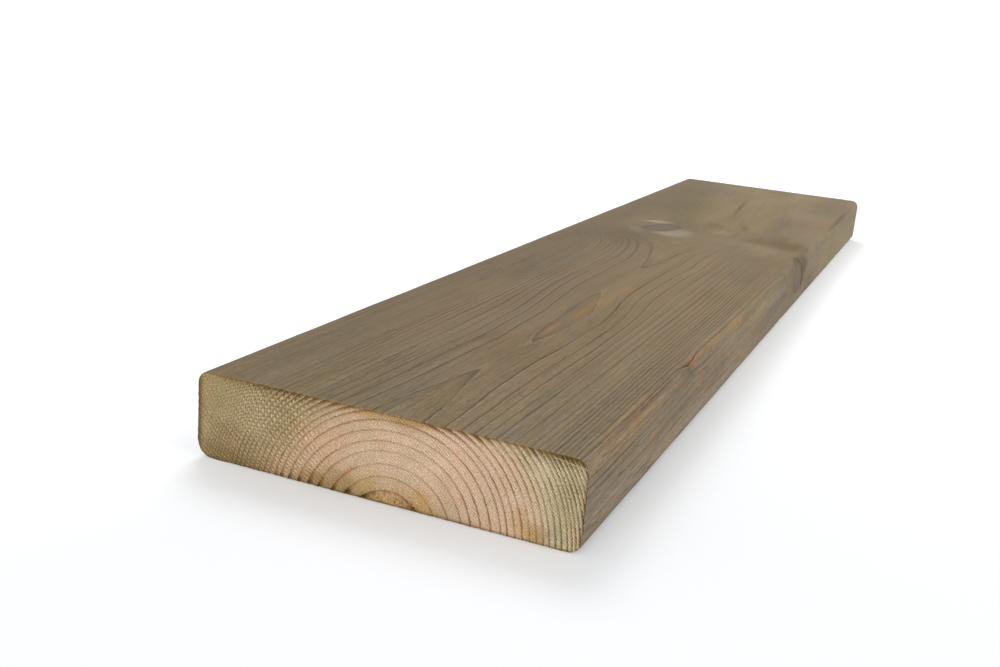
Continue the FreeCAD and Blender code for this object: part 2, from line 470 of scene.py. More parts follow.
def sawnTint(x, z, field):
    wander = field["radius"] + 1.5 * ripple(31, 6, (x, 40.0), (z, 40.0))
    left = smoothStep(10, -30, x)
    colour = np.array(endColours["heart"], float) + (np.array(endColours["heartLeft"], float)
                                                     - endColours["heart"]) * left[..., None]
    pith = 1 - smoothStep(11, 17, wander)
    colour = colour + (np.array(endColours["pith"], float) - colour) * pith[..., None] * 0.85
    sap = smoothStep(trunk["sapwoodFrom"] - 14, trunk["sapwoodFrom"] + 4, wander + 8 * left)
    sapColour = np.where((x > 0)[..., None], np.array(endColours["sapRight"], float), endColours["sapLeft"])
    colour = colour + (sapColour - colour) * sap[..., None]
    blotch = ripple(32, 8, (x, 20.0), (z, 16.0))[..., None]
    colour = colour + blotch * np.array([2.4, 2.2, 2.6])
    low = np.exp(-z / 3.0) * (1 - smoothStep(20, 45, np.abs(x)))
    colour = colour + (np.array(endColours["lowMiddle"], float) - colour) * low[..., None] * 0.75
    for number, (across, up, halfAcross, halfUp, turn, patchColour, strength) in enumerate(endColours["patches"]):
        c = math.cos(math.radians(turn))
        s = math.sin(math.radians(turn))
        sideways = (c * (x - across) + s * (z - up)) / halfAcross
        upways = (c * (z - up) - s * (x - across)) / halfUp
        apart = np.hypot(sideways, upways) + 0.10 * ripple(200 + number, 6, (x, 2.5 * halfAcross), (z, 2.5 * halfUp))
        share = strength * (1 - smoothStep(0.2, 1.5, apart))
        colour = colour + (np.array(patchColour, float) - colour) * share[..., None]
    underTop = board["thickness"] - z
    crescent = np.exp(-((field["radius"] - 12.3) / 1.5) ** 2) * (1 - smoothStep(0.6, 4.2, z))
    crescent = crescent * smoothStep(-1.6, 0.2, ripple(34, 7, (x, 5.0), (z, 5.0)))
    colour = colour + (np.array(endColours["pithCrescent"], float) - colour) * crescent[..., None] * 0.85
    rimWidth = 2.9 - 1.7 * smoothStep(10, 26, np.abs(x - 4)) + 0.55 * ripple(33, 5, (x, 14.0))
    topRim = np.exp(-(underTop / rimWidth) ** 2)
    sideRimColour = np.where((x > 0)[..., None], np.array(endColours["topRimRight"], float), endColours["topRimLeft"])
    outer = smoothStep(18, 45, np.abs(x))[..., None]
    topRimColour = np.array(endColours["topRim"], float) + (sideRimColour - endColours["topRim"]) * outer
    topRim = topRim * (0.90 - 0.34 * smoothStep(15, 30, np.abs(x)))
    colour = colour + (topRimColour - colour) * topRim[..., None]
    fromSide = np.minimum(board["halfWidth"] - np.abs(x), z + 0.4)
    sideRim = np.exp(-(fromSide / (1.0 + 0.6 * smoothStep(-30, -60, x))) ** 2)
    sideColour = np.where((x > 60)[..., None], np.array(endColours["rightRim"], float), endColours["otherRims"])
    sideColour = np.where((x < -66)[..., None], np.array(endColours["leftRim"], float), sideColour)
    colour = colour + (sideColour - colour) * sideRim[..., None] * 0.85
    return fromScreen(colour[..., 0], colour[..., 1], colour[..., 2])


def sawnLines(x, z, field):
    # How dark the ring lines are on the ends: darkest in the sapwood and where the saw tore the top edge
    underTop = board["thickness"] - z
    sap = smoothStep(trunk["sapwoodFrom"] - 12, trunk["sapwoodFrom"] + 2, field["radius"])
    strength = 0.85 + 0.13 * sap * smoothStep(-20, 20, x) - 0.15 * smoothStep(-40, -55, x)
    strength = strength + 0.62 * np.exp(-underTop / 3.2) * smoothStep(4, 18, np.abs(x - 4))
    strength = strength + 0.30 * np.exp(-z / 2.6) * (1 - smoothStep(22, 40, np.abs(x)))
    strength = strength + 0.22 * smoothStep(24, 34, x) - 0.12 * smoothStep(44, 58, x)
    strength = strength - 0.30 * np.exp(-((x - 6) / 16) ** 2) * smoothStep(0.5, 3.0, underTop)
    leftShare = np.interp(x, [-56, -50, -44, -34, -26], [0.22, 0.32, 0.60, 0.85, 1.0])
    leftShare = np.maximum(leftShare, 1.15 * (1 - smoothStep(9, 19, z)) * smoothStep(-71, -64, x))
    return np.clip(strength * leftShare, 0, 1.25)


def tornGrain(x, z):
    # Where the saw tore the wood: the ring lines are dark wedges under the top face and by the pith's underside
    underTop = board["thickness"] - z
    high = np.exp(-(underTop / 4.0) ** 2) * (0.35 + 0.65 * smoothStep(8, 20, np.abs(x - 2)))
    high = high * (1 - 0.70 * smoothStep(-36, -60, x)) * (1 - 0.25 * smoothStep(25, 50, x))
    low = 1.3 * np.exp(-(z / 2.8) ** 2) * smoothStep(-46, -36, x) * smoothStep(24, 8, x)
    return np.clip(high + low, 0, 1)


def sawnRelief(x, z):
    # Saw strokes across the end, up to about a tenth of a millimetre deep
    strokes = 0.5 + 0.5 * np.sin((x * 0.83 - z * 0.56) * 2 * math.pi / 1.9 + 1.3 * ripple(41, 5, (x, 30.0), (z, 30.0)))
    return np.maximum(0.05 * strokes + 0.04 * (1 + ripple(42, 8, (x, 9.0), (z, 9.0))), 0)


def makePlanedBoard():
    section, outward = runAround()
    rows = rowPlaces()
    count = len(section)
    rowCount = len(rows)
    acrossFaces = board["meshAcross"]
    upFaces = board["meshUp"]
    steps = np.linalg.norm(np.roll(section, -1, axis=0) - section, axis=1)
    aroundPlace = np.concatenate([[0], np.cumsum(steps)])

    x = np.tile(section[:, 0], (rowCount, 1))
    z = np.tile(section[:, 1], (rowCount, 1))
    y = np.tile(rows[:, None], (1, count))
    normals = np.tile(outward, (rowCount, 1, 1))
    field = treeField(x, y, z)
    depth = surfaceRelief(x, y, z, field, np.tile(aroundPlace[:-1], (rowCount, 1)))
    fromEnd = board["halfLength"] - np.abs(y)
    wornEdge = 0.13 + 0.05 * ripple(51, 8, (np.tile(aroundPlace[:-1], (rowCount, 1)), 5.0), (np.sign(y), 3.0))
    depth = depth + np.clip(wornEdge, 0.04, 0.3) * np.clip(1 - fromEnd / 0.5, 0, 1)
    sides = np.stack([x - normals[..., 0] * depth, y, z - normals[..., 1] * depth], axis=-1).reshape(-1, 3)
    plainSides = np.stack([x, y, z], axis=-1).reshape(-1, 3)
    sideNormals = normals.reshape(-1, 2)

    # each end is a grid that is stretched between the four runs of its rim
    top = np.arange(acrossFaces + 1)
    right = acrossFaces + np.arange(upFaces + 1)
    low = acrossFaces + upFaces + np.arange(acrossFaces, -1, -1)
    left = (2 * acrossFaces + upFaces + np.arange(upFaces, -1, -1)) % count
    u = np.linspace(0, 1, acrossFaces + 1)[:, None, None]
    v = np.linspace(0, 1, upFaces + 1)[None, :, None]
    grid = ((1 - v) * section[top][:, None] + v * section[low][:, None]
            + (1 - u) * section[left][None] + u * section[right][None]
            - (1 - u) * (1 - v) * section[top[0]] - u * (1 - v) * section[top[-1]]
            - (1 - u) * v * section[low[0]] - u * v * section[low[-1]])
    inner = grid[1:-1, 1:-1].reshape(-1, 2)

    points = [sides]
    plainPoints = [plainSides]
    plainNormals = [sideNormals]
    faces = []
    places = []  # each face corner's place on the flat layout, for baking
    materialOf = []
    layAcross = 0.005 + 0.99 * aroundPlace / aroundPlace[-1]
    layAlong = 0.005 + 0.84 * (rows + board["halfLength"]) / (2 * board["halfLength"])
    for j in range(rowCount - 1):
        for i in range(count):
            k = (i + 1) % count
            faces.append((j * count + i, j * count + k, (j + 1) * count + k, (j + 1) * count + i))
            places.append(((layAcross[i], layAlong[j]), (layAcross[i + 1], layAlong[j]),
                           (layAcross[i + 1], layAlong[j + 1]), (layAcross[i], layAlong[j + 1])))
            materialOf.append(0)
    for end, rowStart, layStart in ((-1, 0, 0.005), (1, (rowCount - 1) * count, 0.505)):
        firstInner = sum(len(part) for part in points)
        depthThere = sawnRelief(inner[:, 0] * end, inner[:, 1])
        endPlace = end * (board["halfLength"] - depthThere)
        points.append(np.stack([inner[:, 0], endPlace, inner[:, 1]], axis=-1))
        plainPoints.append(np.stack([inner[:, 0], np.full(len(inner), end * board["halfLength"]), inner[:, 1]], axis=-1))
        plainNormals.append(np.tile([0.0, 0.0], (len(inner), 1)))
        index = np.zeros((acrossFaces + 1, upFaces + 1), int)
        index[1:-1, 1:-1] = firstInner + np.arange(len(inner)).reshape(acrossFaces - 1, upFaces - 1)
        index[:, 0] = rowStart + top
        index[:, -1] = rowStart + low
        index[0, :] = rowStart + left
        index[-1, :] = rowStart + right
        layX = layStart + 0.49 * (grid[..., 0] + board["halfWidth"]) / (2 * board["halfWidth"])
        layZ = 0.86 + 0.13 * grid[..., 1] / board["thickness"]
        for a in range(acrossFaces):
            for b in range(upFaces):
                corners = [(a, b), (a, b + 1), (a + 1, b + 1), (a + 1, b)]
                if end > 0:
                    corners.reverse()
                faces.append(tuple(int(index[corner]) for corner in corners))
                places.append(tuple((layX[corner], layZ[corner]) for corner in corners))
                materialOf.append(1)
    points = np.concatenate(points)
    plainPoints = np.concatenate(plainPoints)
    plainNormals = np.concatenate(plainNormals)

    mesh = bpy.data.meshes.new("planedBoard")
    mesh.from_pydata((points * metre).tolist(), [], faces)
    mesh.polygons.foreach_set("material_index", materialOf)
    layout = mesh.uv_layers.new(name="OFBake")
    layout.data.foreach_set("uv", np.array(places).ravel())
    mesh.shade_smooth()
    mesh.set_sharp_from_angle(angle=math.radians(40))
    mesh.validate()

    field = treeField(plainPoints[:, 0], plainPoints[:, 1], plainPoints[:, 2])
    plainX, plainY, plainZ = plainPoints.T
    facts = {name: field[name] for name in ("growth", "ringWidth", "reach")}
    facts["ringSpacing"] = ringSpacing(plainX, plainY, plainZ, plainNormals)
    facts["weatheredLines"] = weatheredLines(plainX, plainY, plainZ, plainNormals, field)
    facts["fineGrain"] = fineGrain(plainY, plainNormals)
    facts["checkGap"] = sideCheckGap(plainY, plainZ)
    facts["checkDepth"] = sideCheckDepth(plainX, plainZ)
    facts["sawnLines"] = sawnLines(plainX, plainZ, field)
    facts["tornGrain"] = tornGrain(plainX, plainZ)
    for name, values in facts.items():
        attribute = mesh.attributes.new(name, "FLOAT", "POINT")
        attribute.data.foreach_set("value", values.astype(np.float32))
    grain = np.stack([field["straightRadius"], field["fibre"], plainPoints[:, 1]], axis=-1)
    attribute = mesh.attributes.new("grain", "FLOAT_VECTOR", "POINT")
    attribute.data.foreach_set("vector", grain.astype(np.float32).ravel())
    tints = {"weatheredTint": weatheredTint(plainX, plainY, plainZ, plainNormals, field),
             "sawnTint": sawnTint(plainX, plainZ, field)}
    for name, colour in tints.items():
        attribute = mesh.attributes.new(name, "FLOAT_COLOR", "POINT")
        rgba = np.concatenate([colour, np.ones((len(colour), 1))], axis=-1)
        attribute.data.foreach_set("color", rgba.astype(np.float32).ravel())
    piece = bpy.data.objects.new("planedBoard", mesh)
    bpy.context.collection.objects.link(piece)
    triangles = sum(len(face) - 2 for face in faces)
    print("board: meshed with", rowCount, "rows and", triangles, "triangles")
    return piece


# Short ways to add shader nodes
def newMaterial(name):
    material = bpy.data.materials.new(name)
    material.use_nodes = True
    material.node_tree.nodes.clear()
    return material


def addNode(tree, kind, inputs=(), **settings):
    node = tree.nodes.new(kind)
    for setting, value in settings.items():
        setattr(node, setting, value)
    for socketName, value in dict(inputs).items():
        socket = node.inputs[socketName]
        if isinstance(value, bpy.types.NodeSocket):
            tree.links.new(value, socket)
        else:
            socket.default_value = value
    return node


def calculate(tree, operation, first, second=0.0, third=0.0):
    return addNode(tree, "ShaderNodeMath", {0: first, 1: second, 2: third}, operation=operation).outputs[0]


def spread(tree, value, fromLow, fromHigh, toLow=0.0, toHigh=1.0, smooth=True):
    kind = "SMOOTHSTEP" if smooth else "LINEAR"
    inputs = {"Value": value, "From Min": fromLow, "From Max": fromHigh, "To Min": toLow, "To Max": toHigh}
    return addNode(tree, "ShaderNodeMapRange", inputs, interpolation_type=kind).outputs[0]


def mixColour(tree, mode, amount, first, second):
    inputs = {"Factor": amount, 6: first, 7: second}
    return addNode(tree, "ShaderNodeMix", inputs, data_type="RGBA", blend_type=mode).outputs[2]


def scaleVector(tree, vector, across, along, up):
    inputs = {0: vector, 1: (across, along, up)}
    return addNode(tree, "ShaderNodeVectorMath", inputs, operation="MULTIPLY").outputs[0]


def noiseAt(tree, vector, scale, detail=2.0, roughness=0.5, distortion=0.0):
    inputs = {"Vector": vector, "Scale": scale, "Detail": detail, "Roughness": roughness, "Distortion": distortion}
    return addNode(tree, "ShaderNodeTexNoise", inputs).outputs[0]


def readFact(tree, name):
    return addNode(tree, "ShaderNodeAttribute", attribute_name=name)


def paleOrDark(tree, value, swing):
    # a noise value, about 0.5, to a grey that multiplies: 1 on average, swing either way
    return spread(tree, value, 0.28, 0.72, 1 - swing, 1 + swing, smooth=False)


def ringLine(tree, growth, ringWidth, thickness, power):
    # 0 in each ring's pale wood, rising to 1 at its dark, sharp outer edge
    place = calculate(tree, "FRACT", growth)
    share = calculate(tree, "DIVIDE", thickness, ringWidth)
    start = calculate(tree, "SUBTRACT", 1.0, share)
    rise = calculate(tree, "DIVIDE", calculate(tree, "SUBTRACT", place, start), share)
    rise = spread(tree, rise, 0.0, 1.0, smooth=False)
    return calculate(tree, "POWER", rise, power)


def wave(tree, turns):
    # 0 to 1 and back to 0 in each whole turn
    sine = calculate(tree, "SINE", calculate(tree, "MULTIPLY", turns, 2 * math.pi))
    return spread(tree, sine, -1.0, 1.0, smooth=False)


def perRing(tree, growth, low, high, seed):
    # one fixed strength for each ring
    number = calculate(tree, "ADD", calculate(tree, "FLOOR", growth), seed)
    chance = addNode(tree, "ShaderNodeTexWhiteNoise", {"W": number}, noise_dimensions="1D").outputs["Value"]
    return spread(tree, chance, 0.0, 1.0, low, high, smooth=False)


weatheredFinish = {
    "ringThickness": (0.90, 2.0),  # millimetres of dark wood at each ring, near and far along the board
    "ringDarkness": 1.0,
    "ringTint": (0.42, 0.41, 0.47, 1.0),
    "palePart": 0.13,  # how much paler the start of each ring is
    "underLines": 0.30,  # dark wood that shows where a ring only just reaches the surface
    "streaks": 0.09,  # long soft streaks along the grain
    "threads": 0.42,  # long hair-thin dark lines
    "fibres": 0.26,  # fine short fibres
    "specks": 0.12,
    "blotches": 0.05,
    "warmPart": (1.028, 0.998, 0.95, 1.0),  # the weathering runs from warmer to greyer along the fibres
    "greyPart": (0.972, 1.002, 1.05, 1.0),
    "checks": 0.35,  # hairline drying checks
    "roughness": (0.72, 0.90),
    "gloss": 0.08,
    "raisedGrain": 0.10,  # millimetres
    "fibreRelief": 0.12,
}


def makeWeatheredSoftwood():
    material = newMaterial("weatheredSoftwood")
    tree = material.node_tree
    tint = readFact(tree, "weatheredTint").outputs["Color"]
    growth = readFact(tree, "growth").outputs["Fac"]
    spacing = readFact(tree, "ringSpacing").outputs["Fac"]
    fine = readFact(tree, "fineGrain").outputs["Fac"]
    reach = readFact(tree, "reach").outputs["Fac"]
    lines = readFact(tree, "weatheredLines").outputs["Fac"]
    gap = readFact(tree, "checkGap").outputs["Fac"]
    checkDepth = readFact(tree, "checkDepth").outputs["Fac"]
    grain = readFact(tree, "grain").outputs["Vector"]
    place = addNode(tree, "ShaderNodeTexCoord").outputs["Object"]
    place = scaleVector(tree, place, 1000, 1000, 1000)  # millimetres
    plainWood = spread(tree, reach, 0.85, 1.25)

    # the rings: a dark line at the end of each, and paler wood after it
    shake = noiseAt(tree, scaleVector(tree, grain, 0.8, 0.8, 0.10), 1.0, 2.0, 0.6)
    shift = calculate(tree, "DIVIDE", calculate(tree, "SUBTRACT", shake, 0.5), spacing)
    shaken = calculate(tree, "MULTIPLY_ADD", shift, 0.7, growth)
    lengthPlace = addNode(tree, "ShaderNodeSeparateXYZ", {"Vector": place}).outputs["Y"]
    thickness = spread(tree, lengthPlace, -50.0, 40.0, *weatheredFinish["ringThickness"])
    late = ringLine(tree, shaken, spacing, thickness, 0.6)
    pastLine = calculate(tree, "MULTIPLY", calculate(tree, "FRACT", shaken), spacing)
    after = spread(tree, pastLine, 0.0, spread(tree, lengthPlace, -60.0, 40.0, 0.06, 1.8), 1.0, 0.0)
    late = calculate(tree, "MAXIMUM", late, after)
    late = calculate(tree, "MULTIPLY", late, spread(tree, spacing, 5.0, 12.0, 1.0, 0.85))
    late = calculate(tree, "MULTIPLY", late, spread(tree, spacing, 14.0, 26.0, 1.0, 0.62))
    under = calculate(tree, "MULTIPLY", ringLine(tree, shaken, 1.0, 0.16, 1.6), weatheredFinish["underLines"])
    late = calculate(tree, "MAXIMUM", late, under)
    patchy = spread(tree, noiseAt(tree, scaleVector(tree, place, 0.11, 0.016, 0.11), 1.0, 2.0), 0.3, 0.62, 0.45, 1.0)
    strength = calculate(tree, "MAXIMUM", perRing(tree, growth, 0.45, 1.0, 3.0), spread(tree, growth, 10.9, 11.2, 1.0, 0.0))
    late = calculate(tree, "MULTIPLY", late, strength)
    late = calculate(tree, "MULTIPLY", late, patchy)
    late = calculate(tree, "MULTIPLY", late, calculate(tree, "MULTIPLY", plainWood, lines))
    fresh = spread(tree, pastLine, 0.0, 1.1, 1.0, 0.0)
    fresh = calculate(tree, "MULTIPLY", fresh, calculate(tree, "MULTIPLY", lines, weatheredFinish["palePart"]))

    streak = noiseAt(tree, scaleVector(tree, grain, 0.50, 0.28, 0.007), 1.0, 3.0, 0.6)
    threadNoise = noiseAt(tree, scaleVector(tree, grain, 0.75, 0.42, 0.010), 1.0, 1.0, 0.5)
    thread = calculate(tree, "ABSOLUTE", calculate(tree, "SUBTRACT", threadNoise, 0.5))
    thread = spread(tree, thread, 0.0, 0.035, 1.0, 0.0)
    thread = calculate(tree, "MULTIPLY", calculate(tree, "MULTIPLY", thread, fine), weatheredFinish["threads"])
    fibre = noiseAt(tree, scaleVector(tree, grain, 1.7, 1.5, 0.17), 1.0, 4.0, 0.7)
    speck = noiseAt(tree, scaleVector(tree, place, 1.8, 0.8, 1.8), 1.0, 2.0, 0.7)
    blotch = noiseAt(tree, scaleVector(tree, place, 0.035, 0.012, 0.035), 1.0, 3.0, 0.55)
    checkNoise = noiseAt(tree, scaleVector(tree, grain, 1.5, 1.1, 0.011), 1.0, 1.0, 0.5)
    offMiddle = calculate(tree, "ABSOLUTE", calculate(tree, "SUBTRACT", checkNoise, 0.5))
    checkLine = spread(tree, offMiddle, 0.0, 0.012, 1.0, 0.0)
    checkWhere = spread(tree, noiseAt(tree, scaleVector(tree, place, 0.03, 0.015, 0.03), 1.0), 0.55, 0.68)
    check = calculate(tree, "MULTIPLY", calculate(tree, "MULTIPLY", checkLine, checkWhere), plainWood)
    check = calculate(tree, "MULTIPLY", check, weatheredFinish["checks"])
    openCheck = spread(tree, calculate(tree, "ABSOLUTE", gap), 0.4, 1.9, 1.0, 0.0)
    openCheck = calculate(tree, "MULTIPLY", openCheck, checkDepth)
    check = calculate(tree, "MAXIMUM", check, calculate(tree, "MULTIPLY", openCheck, 0.75))

    darken = calculate(tree, "MULTIPLY", late, weatheredFinish["ringDarkness"])
    colour = mixColour(tree, "MULTIPLY", darken, tint, weatheredFinish["ringTint"])
    colour = mixColour(tree, "MIX", fresh, colour, (0.42, 0.33, 0.22, 1.0))
    colour = mixColour(tree, "MULTIPLY", thread, colour, weatheredFinish["ringTint"])
    for vector, amount in ((scaleVector(tree, grain, 0.24, 0.20, 0.05), 1.0), (scaleVector(tree, place, 0.03, 0.01, 0.03), 0.6)):
        warm = spread(tree, noiseAt(tree, vector, 1.0, 2.0, 0.6), 0.34, 0.66)
        hue = mixColour(tree, "MIX", warm, weatheredFinish["greyPart"], weatheredFinish["warmPart"])
        colour = mixColour(tree, "MULTIPLY", amount, colour, hue)
    smoother = spread(tree, lengthPlace, -60.0, 100.0, 1.0, 0.55)
    for value, swing, amount in ((streak, weatheredFinish["streaks"], smoother), (fibre, weatheredFinish["fibres"], fine),
                                 (speck, weatheredFinish["specks"], fine),
                                 (blotch, weatheredFinish["blotches"], 1.0)):
        colour = mixColour(tree, "MULTIPLY", amount, colour, paleOrDark(tree, value, swing))
    colour = mixColour(tree, "MULTIPLY", check, colour, (0.36, 0.32, 0.28, 1.0))

    roughness = spread(tree, fibre, 0.3, 0.7, weatheredFinish["roughness"][0], weatheredFinish["roughness"][1])
    height = calculate(tree, "MULTIPLY", late, weatheredFinish["raisedGrain"])
    height = calculate(tree, "MULTIPLY_ADD", fibre, weatheredFinish["fibreRelief"], height)
    height = calculate(tree, "MULTIPLY_ADD", speck, 0.05, height)
    height = calculate(tree, "MULTIPLY_ADD", check, -0.4, height)
    bump = addNode(tree, "ShaderNodeBump", {"Height": height, "Distance": metre, "Strength": 1.0})
    shader = addNode(tree, "ShaderNodeBsdfPrincipled", {"Base Color": colour, "Roughness": roughness,
                                                        "Specular IOR Level": weatheredFinish["gloss"],
                                                        "Normal": bump.outputs["Normal"]})
    output = addNode(tree, "ShaderNodeOutputMaterial", {"Surface": shader.outputs["BSDF"]})
    output.location = (400, 0)
    return material


sawnFinish = {
    "lineThickness": 0.72,  # millimetres of dark wood in each ring
    "tornThickness": 1.05,  # and this much more where the saw tore
    "lineTint": (0.20, 0.13, 0.06, 1.0),
    "redLineTint": (0.45, 0.22, 0.12, 1.0),
    "summerGrowth": 0.06,  # the slow darkening across each ring
    "coarseStrokes": (0.44, 0.63, -0.00625),  # saw strokes in a millimetre across, up, and how that eases upwards
    "coarseDepth": 0.20,
    "fineStrokes": (0.74, 0.87),
    "fineDepth": 0.17,
    "bricks": 0.38,  # where the strokes cross the rings
    "pores": 0.27,
    "grit": 0.42,
    "rays": 0.05,
    "clouds": 0.05,
    "pinkClouds": (1.0, 0.955, 0.93, 1.0),
    "greenClouds": (0.965, 0.985, 0.93, 1.0),
    "sawLine": ((59.5, 30.43), (72.0, 28.4)),  # one pale stray stroke of the saw, across and up
    "roughness": (0.72, 0.9),
    "gloss": 0.15,
}


def makeSawnEndGrain():
    material = newMaterial("sawnEndGrain")
    tree = material.node_tree
    tint = readFact(tree, "sawnTint").outputs["Color"]
    growth = readFact(tree, "growth").outputs["Fac"]
    ringWidth = readFact(tree, "ringWidth").outputs["Fac"]
    lines = readFact(tree, "sawnLines").outputs["Fac"]
    torn = readFact(tree, "tornGrain").outputs["Fac"]
    grain = readFact(tree, "grain").outputs["Vector"]
    place = addNode(tree, "ShaderNodeTexCoord").outputs["Object"]
    place = scaleVector(tree, place, 1000, 1000, 1000)  # millimetres
    parts = addNode(tree, "ShaderNodeSeparateXYZ", {"Vector": place}).outputs
    across = parts["X"]
    up = parts["Z"]
    radius = addNode(tree, "ShaderNodeSeparateXYZ", {"Vector": grain}).outputs["X"]
    sapwood = spread(tree, radius, trunk["sapwoodFrom"] - 8, trunk["sapwoodFrom"] + 2)

    # saw marks down to the right: coarse strokes on the left, and finer ones towards the middle
    strokesAcross, strokesUp, easing = sawnFinish["coarseStrokes"]
    wobble = calculate(tree, "MULTIPLY", noiseAt(tree, place, 0.10, 2.0, 0.5), 1.4)
    wobble = calculate(tree, "MULTIPLY_ADD", noiseAt(tree, place, 0.55, 1.0, 0.5), 0.8, wobble)
    rise = calculate(tree, "MULTIPLY_ADD", up, calculate(tree, "MULTIPLY_ADD", up, easing, strokesUp), wobble)
    coarse = wave(tree, calculate(tree, "MULTIPLY_ADD", across, strokesAcross, rise))
    fineAcross, fineUp = sawnFinish["fineStrokes"]
    fine = wave(tree, calculate(tree, "MULTIPLY_ADD", across, fineAcross,
                                calculate(tree, "MULTIPLY_ADD", up, fineUp, wobble)))
    uneven = noiseAt(tree, scaleVector(tree, place, 0.42, 1.0, 0.30), 1.0, 2.0, 0.6)
    uneven = spread(tree, uneven, 0.36, 0.60, 0.30, 1.15)
    upperLeft = calculate(tree, "MULTIPLY", spread(tree, across, -50.0, -58.0), spread(tree, up, 10.0, 20.0, 0.0, 0.65))
    nearPith = spread(tree, calculate(tree, "MULTIPLY_ADD", up, 0.5, across), -24.0, -8.0)
    coarseWhere = calculate(tree, "SUBTRACT", 1.0, calculate(tree, "MAXIMUM", upperLeft, nearPith))
    coarseWhere = calculate(tree, "MULTIPLY", coarseWhere, uneven)
    fineWhere = calculate(tree, "MULTIPLY", spread(tree, across, -32.0, -16.0), uneven)
    brickWhere = calculate(tree, "MINIMUM", spread(tree, across, -66.0, -52.0, 0.30, 1.0),
                           spread(tree, across, -34.0, -20.0, 1.0, 0.0))
    brickWhere = calculate(tree, "MULTIPLY", brickWhere, spread(tree, up, 6.0, 20.0, 0.6, 1.0))
    pore = noiseAt(tree, scaleVector(tree, place, 1.7, 1.0, 1.7), 1.0, 3.0, 0.75)
    grit = noiseAt(tree, scaleVector(tree, place, 2.6, 1.0, 2.6), 1.0, 1.0, 0.6)
    gritWhere = spread(tree, across, 10.0, 35.0, 1.0, 0.70)
    ray = noiseAt(tree, scaleVector(tree, grain, 0.30, 2.0, 0.0), 1.0, 2.0, 0.6)
    cloud = noiseAt(tree, place, 0.16, 3.0, 0.55)

    # ring lines, broken up by the saw marks, that fade in and out along their way
    shift = calculate(tree, "DIVIDE", calculate(tree, "SUBTRACT", pore, 0.5), ringWidth)
    shaken = calculate(tree, "MULTIPLY_ADD", shift, 0.9, growth)
    thickness = calculate(tree, "MULTIPLY_ADD", torn, sawnFinish["tornThickness"], sawnFinish["lineThickness"])
    line = ringLine(tree, shaken, ringWidth, thickness, 0.5)
    patchy = spread(tree, noiseAt(tree, place, 0.12, 2.0, 0.6), 0.32, 0.62, 0.55, 1.0)
    depth = calculate(tree, "MULTIPLY", calculate(tree, "MULTIPLY", patchy, lines),
                      perRing(tree, growth, 0.68, 1.0, 7.0))
    depth = calculate(tree, "MAXIMUM", depth, calculate(tree, "MULTIPLY", torn, 1.05))
    line = calculate(tree, "MULTIPLY", line, depth)
    hatch = calculate(tree, "ADD", calculate(tree, "MULTIPLY", coarse, coarseWhere),
                      calculate(tree, "MULTIPLY", fine, calculate(tree, "MULTIPLY", fineWhere, 0.5)))
    broken = calculate(tree, "MULTIPLY", hatch, spread(tree, torn, 0.1, 0.9, 0.45, 0.10))
    line = calculate(tree, "MULTIPLY", line, calculate(tree, "SUBTRACT", 1.0, broken))
    summer = calculate(tree, "POWER", calculate(tree, "FRACT", shaken), 2.0)
    red = spread(tree, noiseAt(tree, place, 0.085, 1.0), 0.34, 0.50)
    red = calculate(tree, "MULTIPLY", red, calculate(tree, "SUBTRACT", 1.0, calculate(tree, "MAXIMUM", sapwood, torn)))
    lineTint = mixColour(tree, "MIX", red, sawnFinish["lineTint"], sawnFinish["redLineTint"])

    colour = mixColour(tree, "MULTIPLY", calculate(tree, "MULTIPLY", summer, sawnFinish["summerGrowth"]),
                       tint, (0.2, 0.1, 0.0, 1.0))
    colour = mixColour(tree, "MULTIPLY", line, colour, lineTint)
    pink = spread(tree, noiseAt(tree, place, 0.22, 2.0, 0.6), 0.50, 0.66)
    green = spread(tree, noiseAt(tree, scaleVector(tree, place, 1.0, 1.0, -1.0), 0.19, 2.0, 0.6), 0.50, 0.66)
    colour = mixColour(tree, "MULTIPLY", pink, colour, sawnFinish["pinkClouds"])
    colour = mixColour(tree, "MULTIPLY", green, colour, sawnFinish["greenClouds"])
    for value, swing, where in ((pore, sawnFinish["pores"], 1.0), (pore, 0.12, sapwood), (grit, sawnFinish["grit"], gritWhere),
                                (ray, sawnFinish["rays"], 1.0), (cloud, sawnFinish["clouds"], 1.0)):
        colour = mixColour(tree, "MULTIPLY", where, colour, paleOrDark(tree, value, swing))
    paleWood = wave(tree, calculate(tree, "SUBTRACT", shaken, 0.25))
    brick = calculate(tree, "MULTIPLY", calculate(tree, "SUBTRACT", paleWood, 0.5), calculate(tree, "SUBTRACT", coarse, 0.5))
    brick = calculate(tree, "MULTIPLY_ADD", brick, 2.0, 0.5)
    for value, swing, where in ((coarse, sawnFinish["coarseDepth"], coarseWhere), (fine, sawnFinish["fineDepth"], fineWhere),
                                (brick, sawnFinish["bricks"], brickWhere)):
        tone = spread(tree, value, 0.0, 1.0, 1 - swing, 1 + swing, smooth=False)
        colour = mixColour(tree, "MULTIPLY", where, colour, tone)
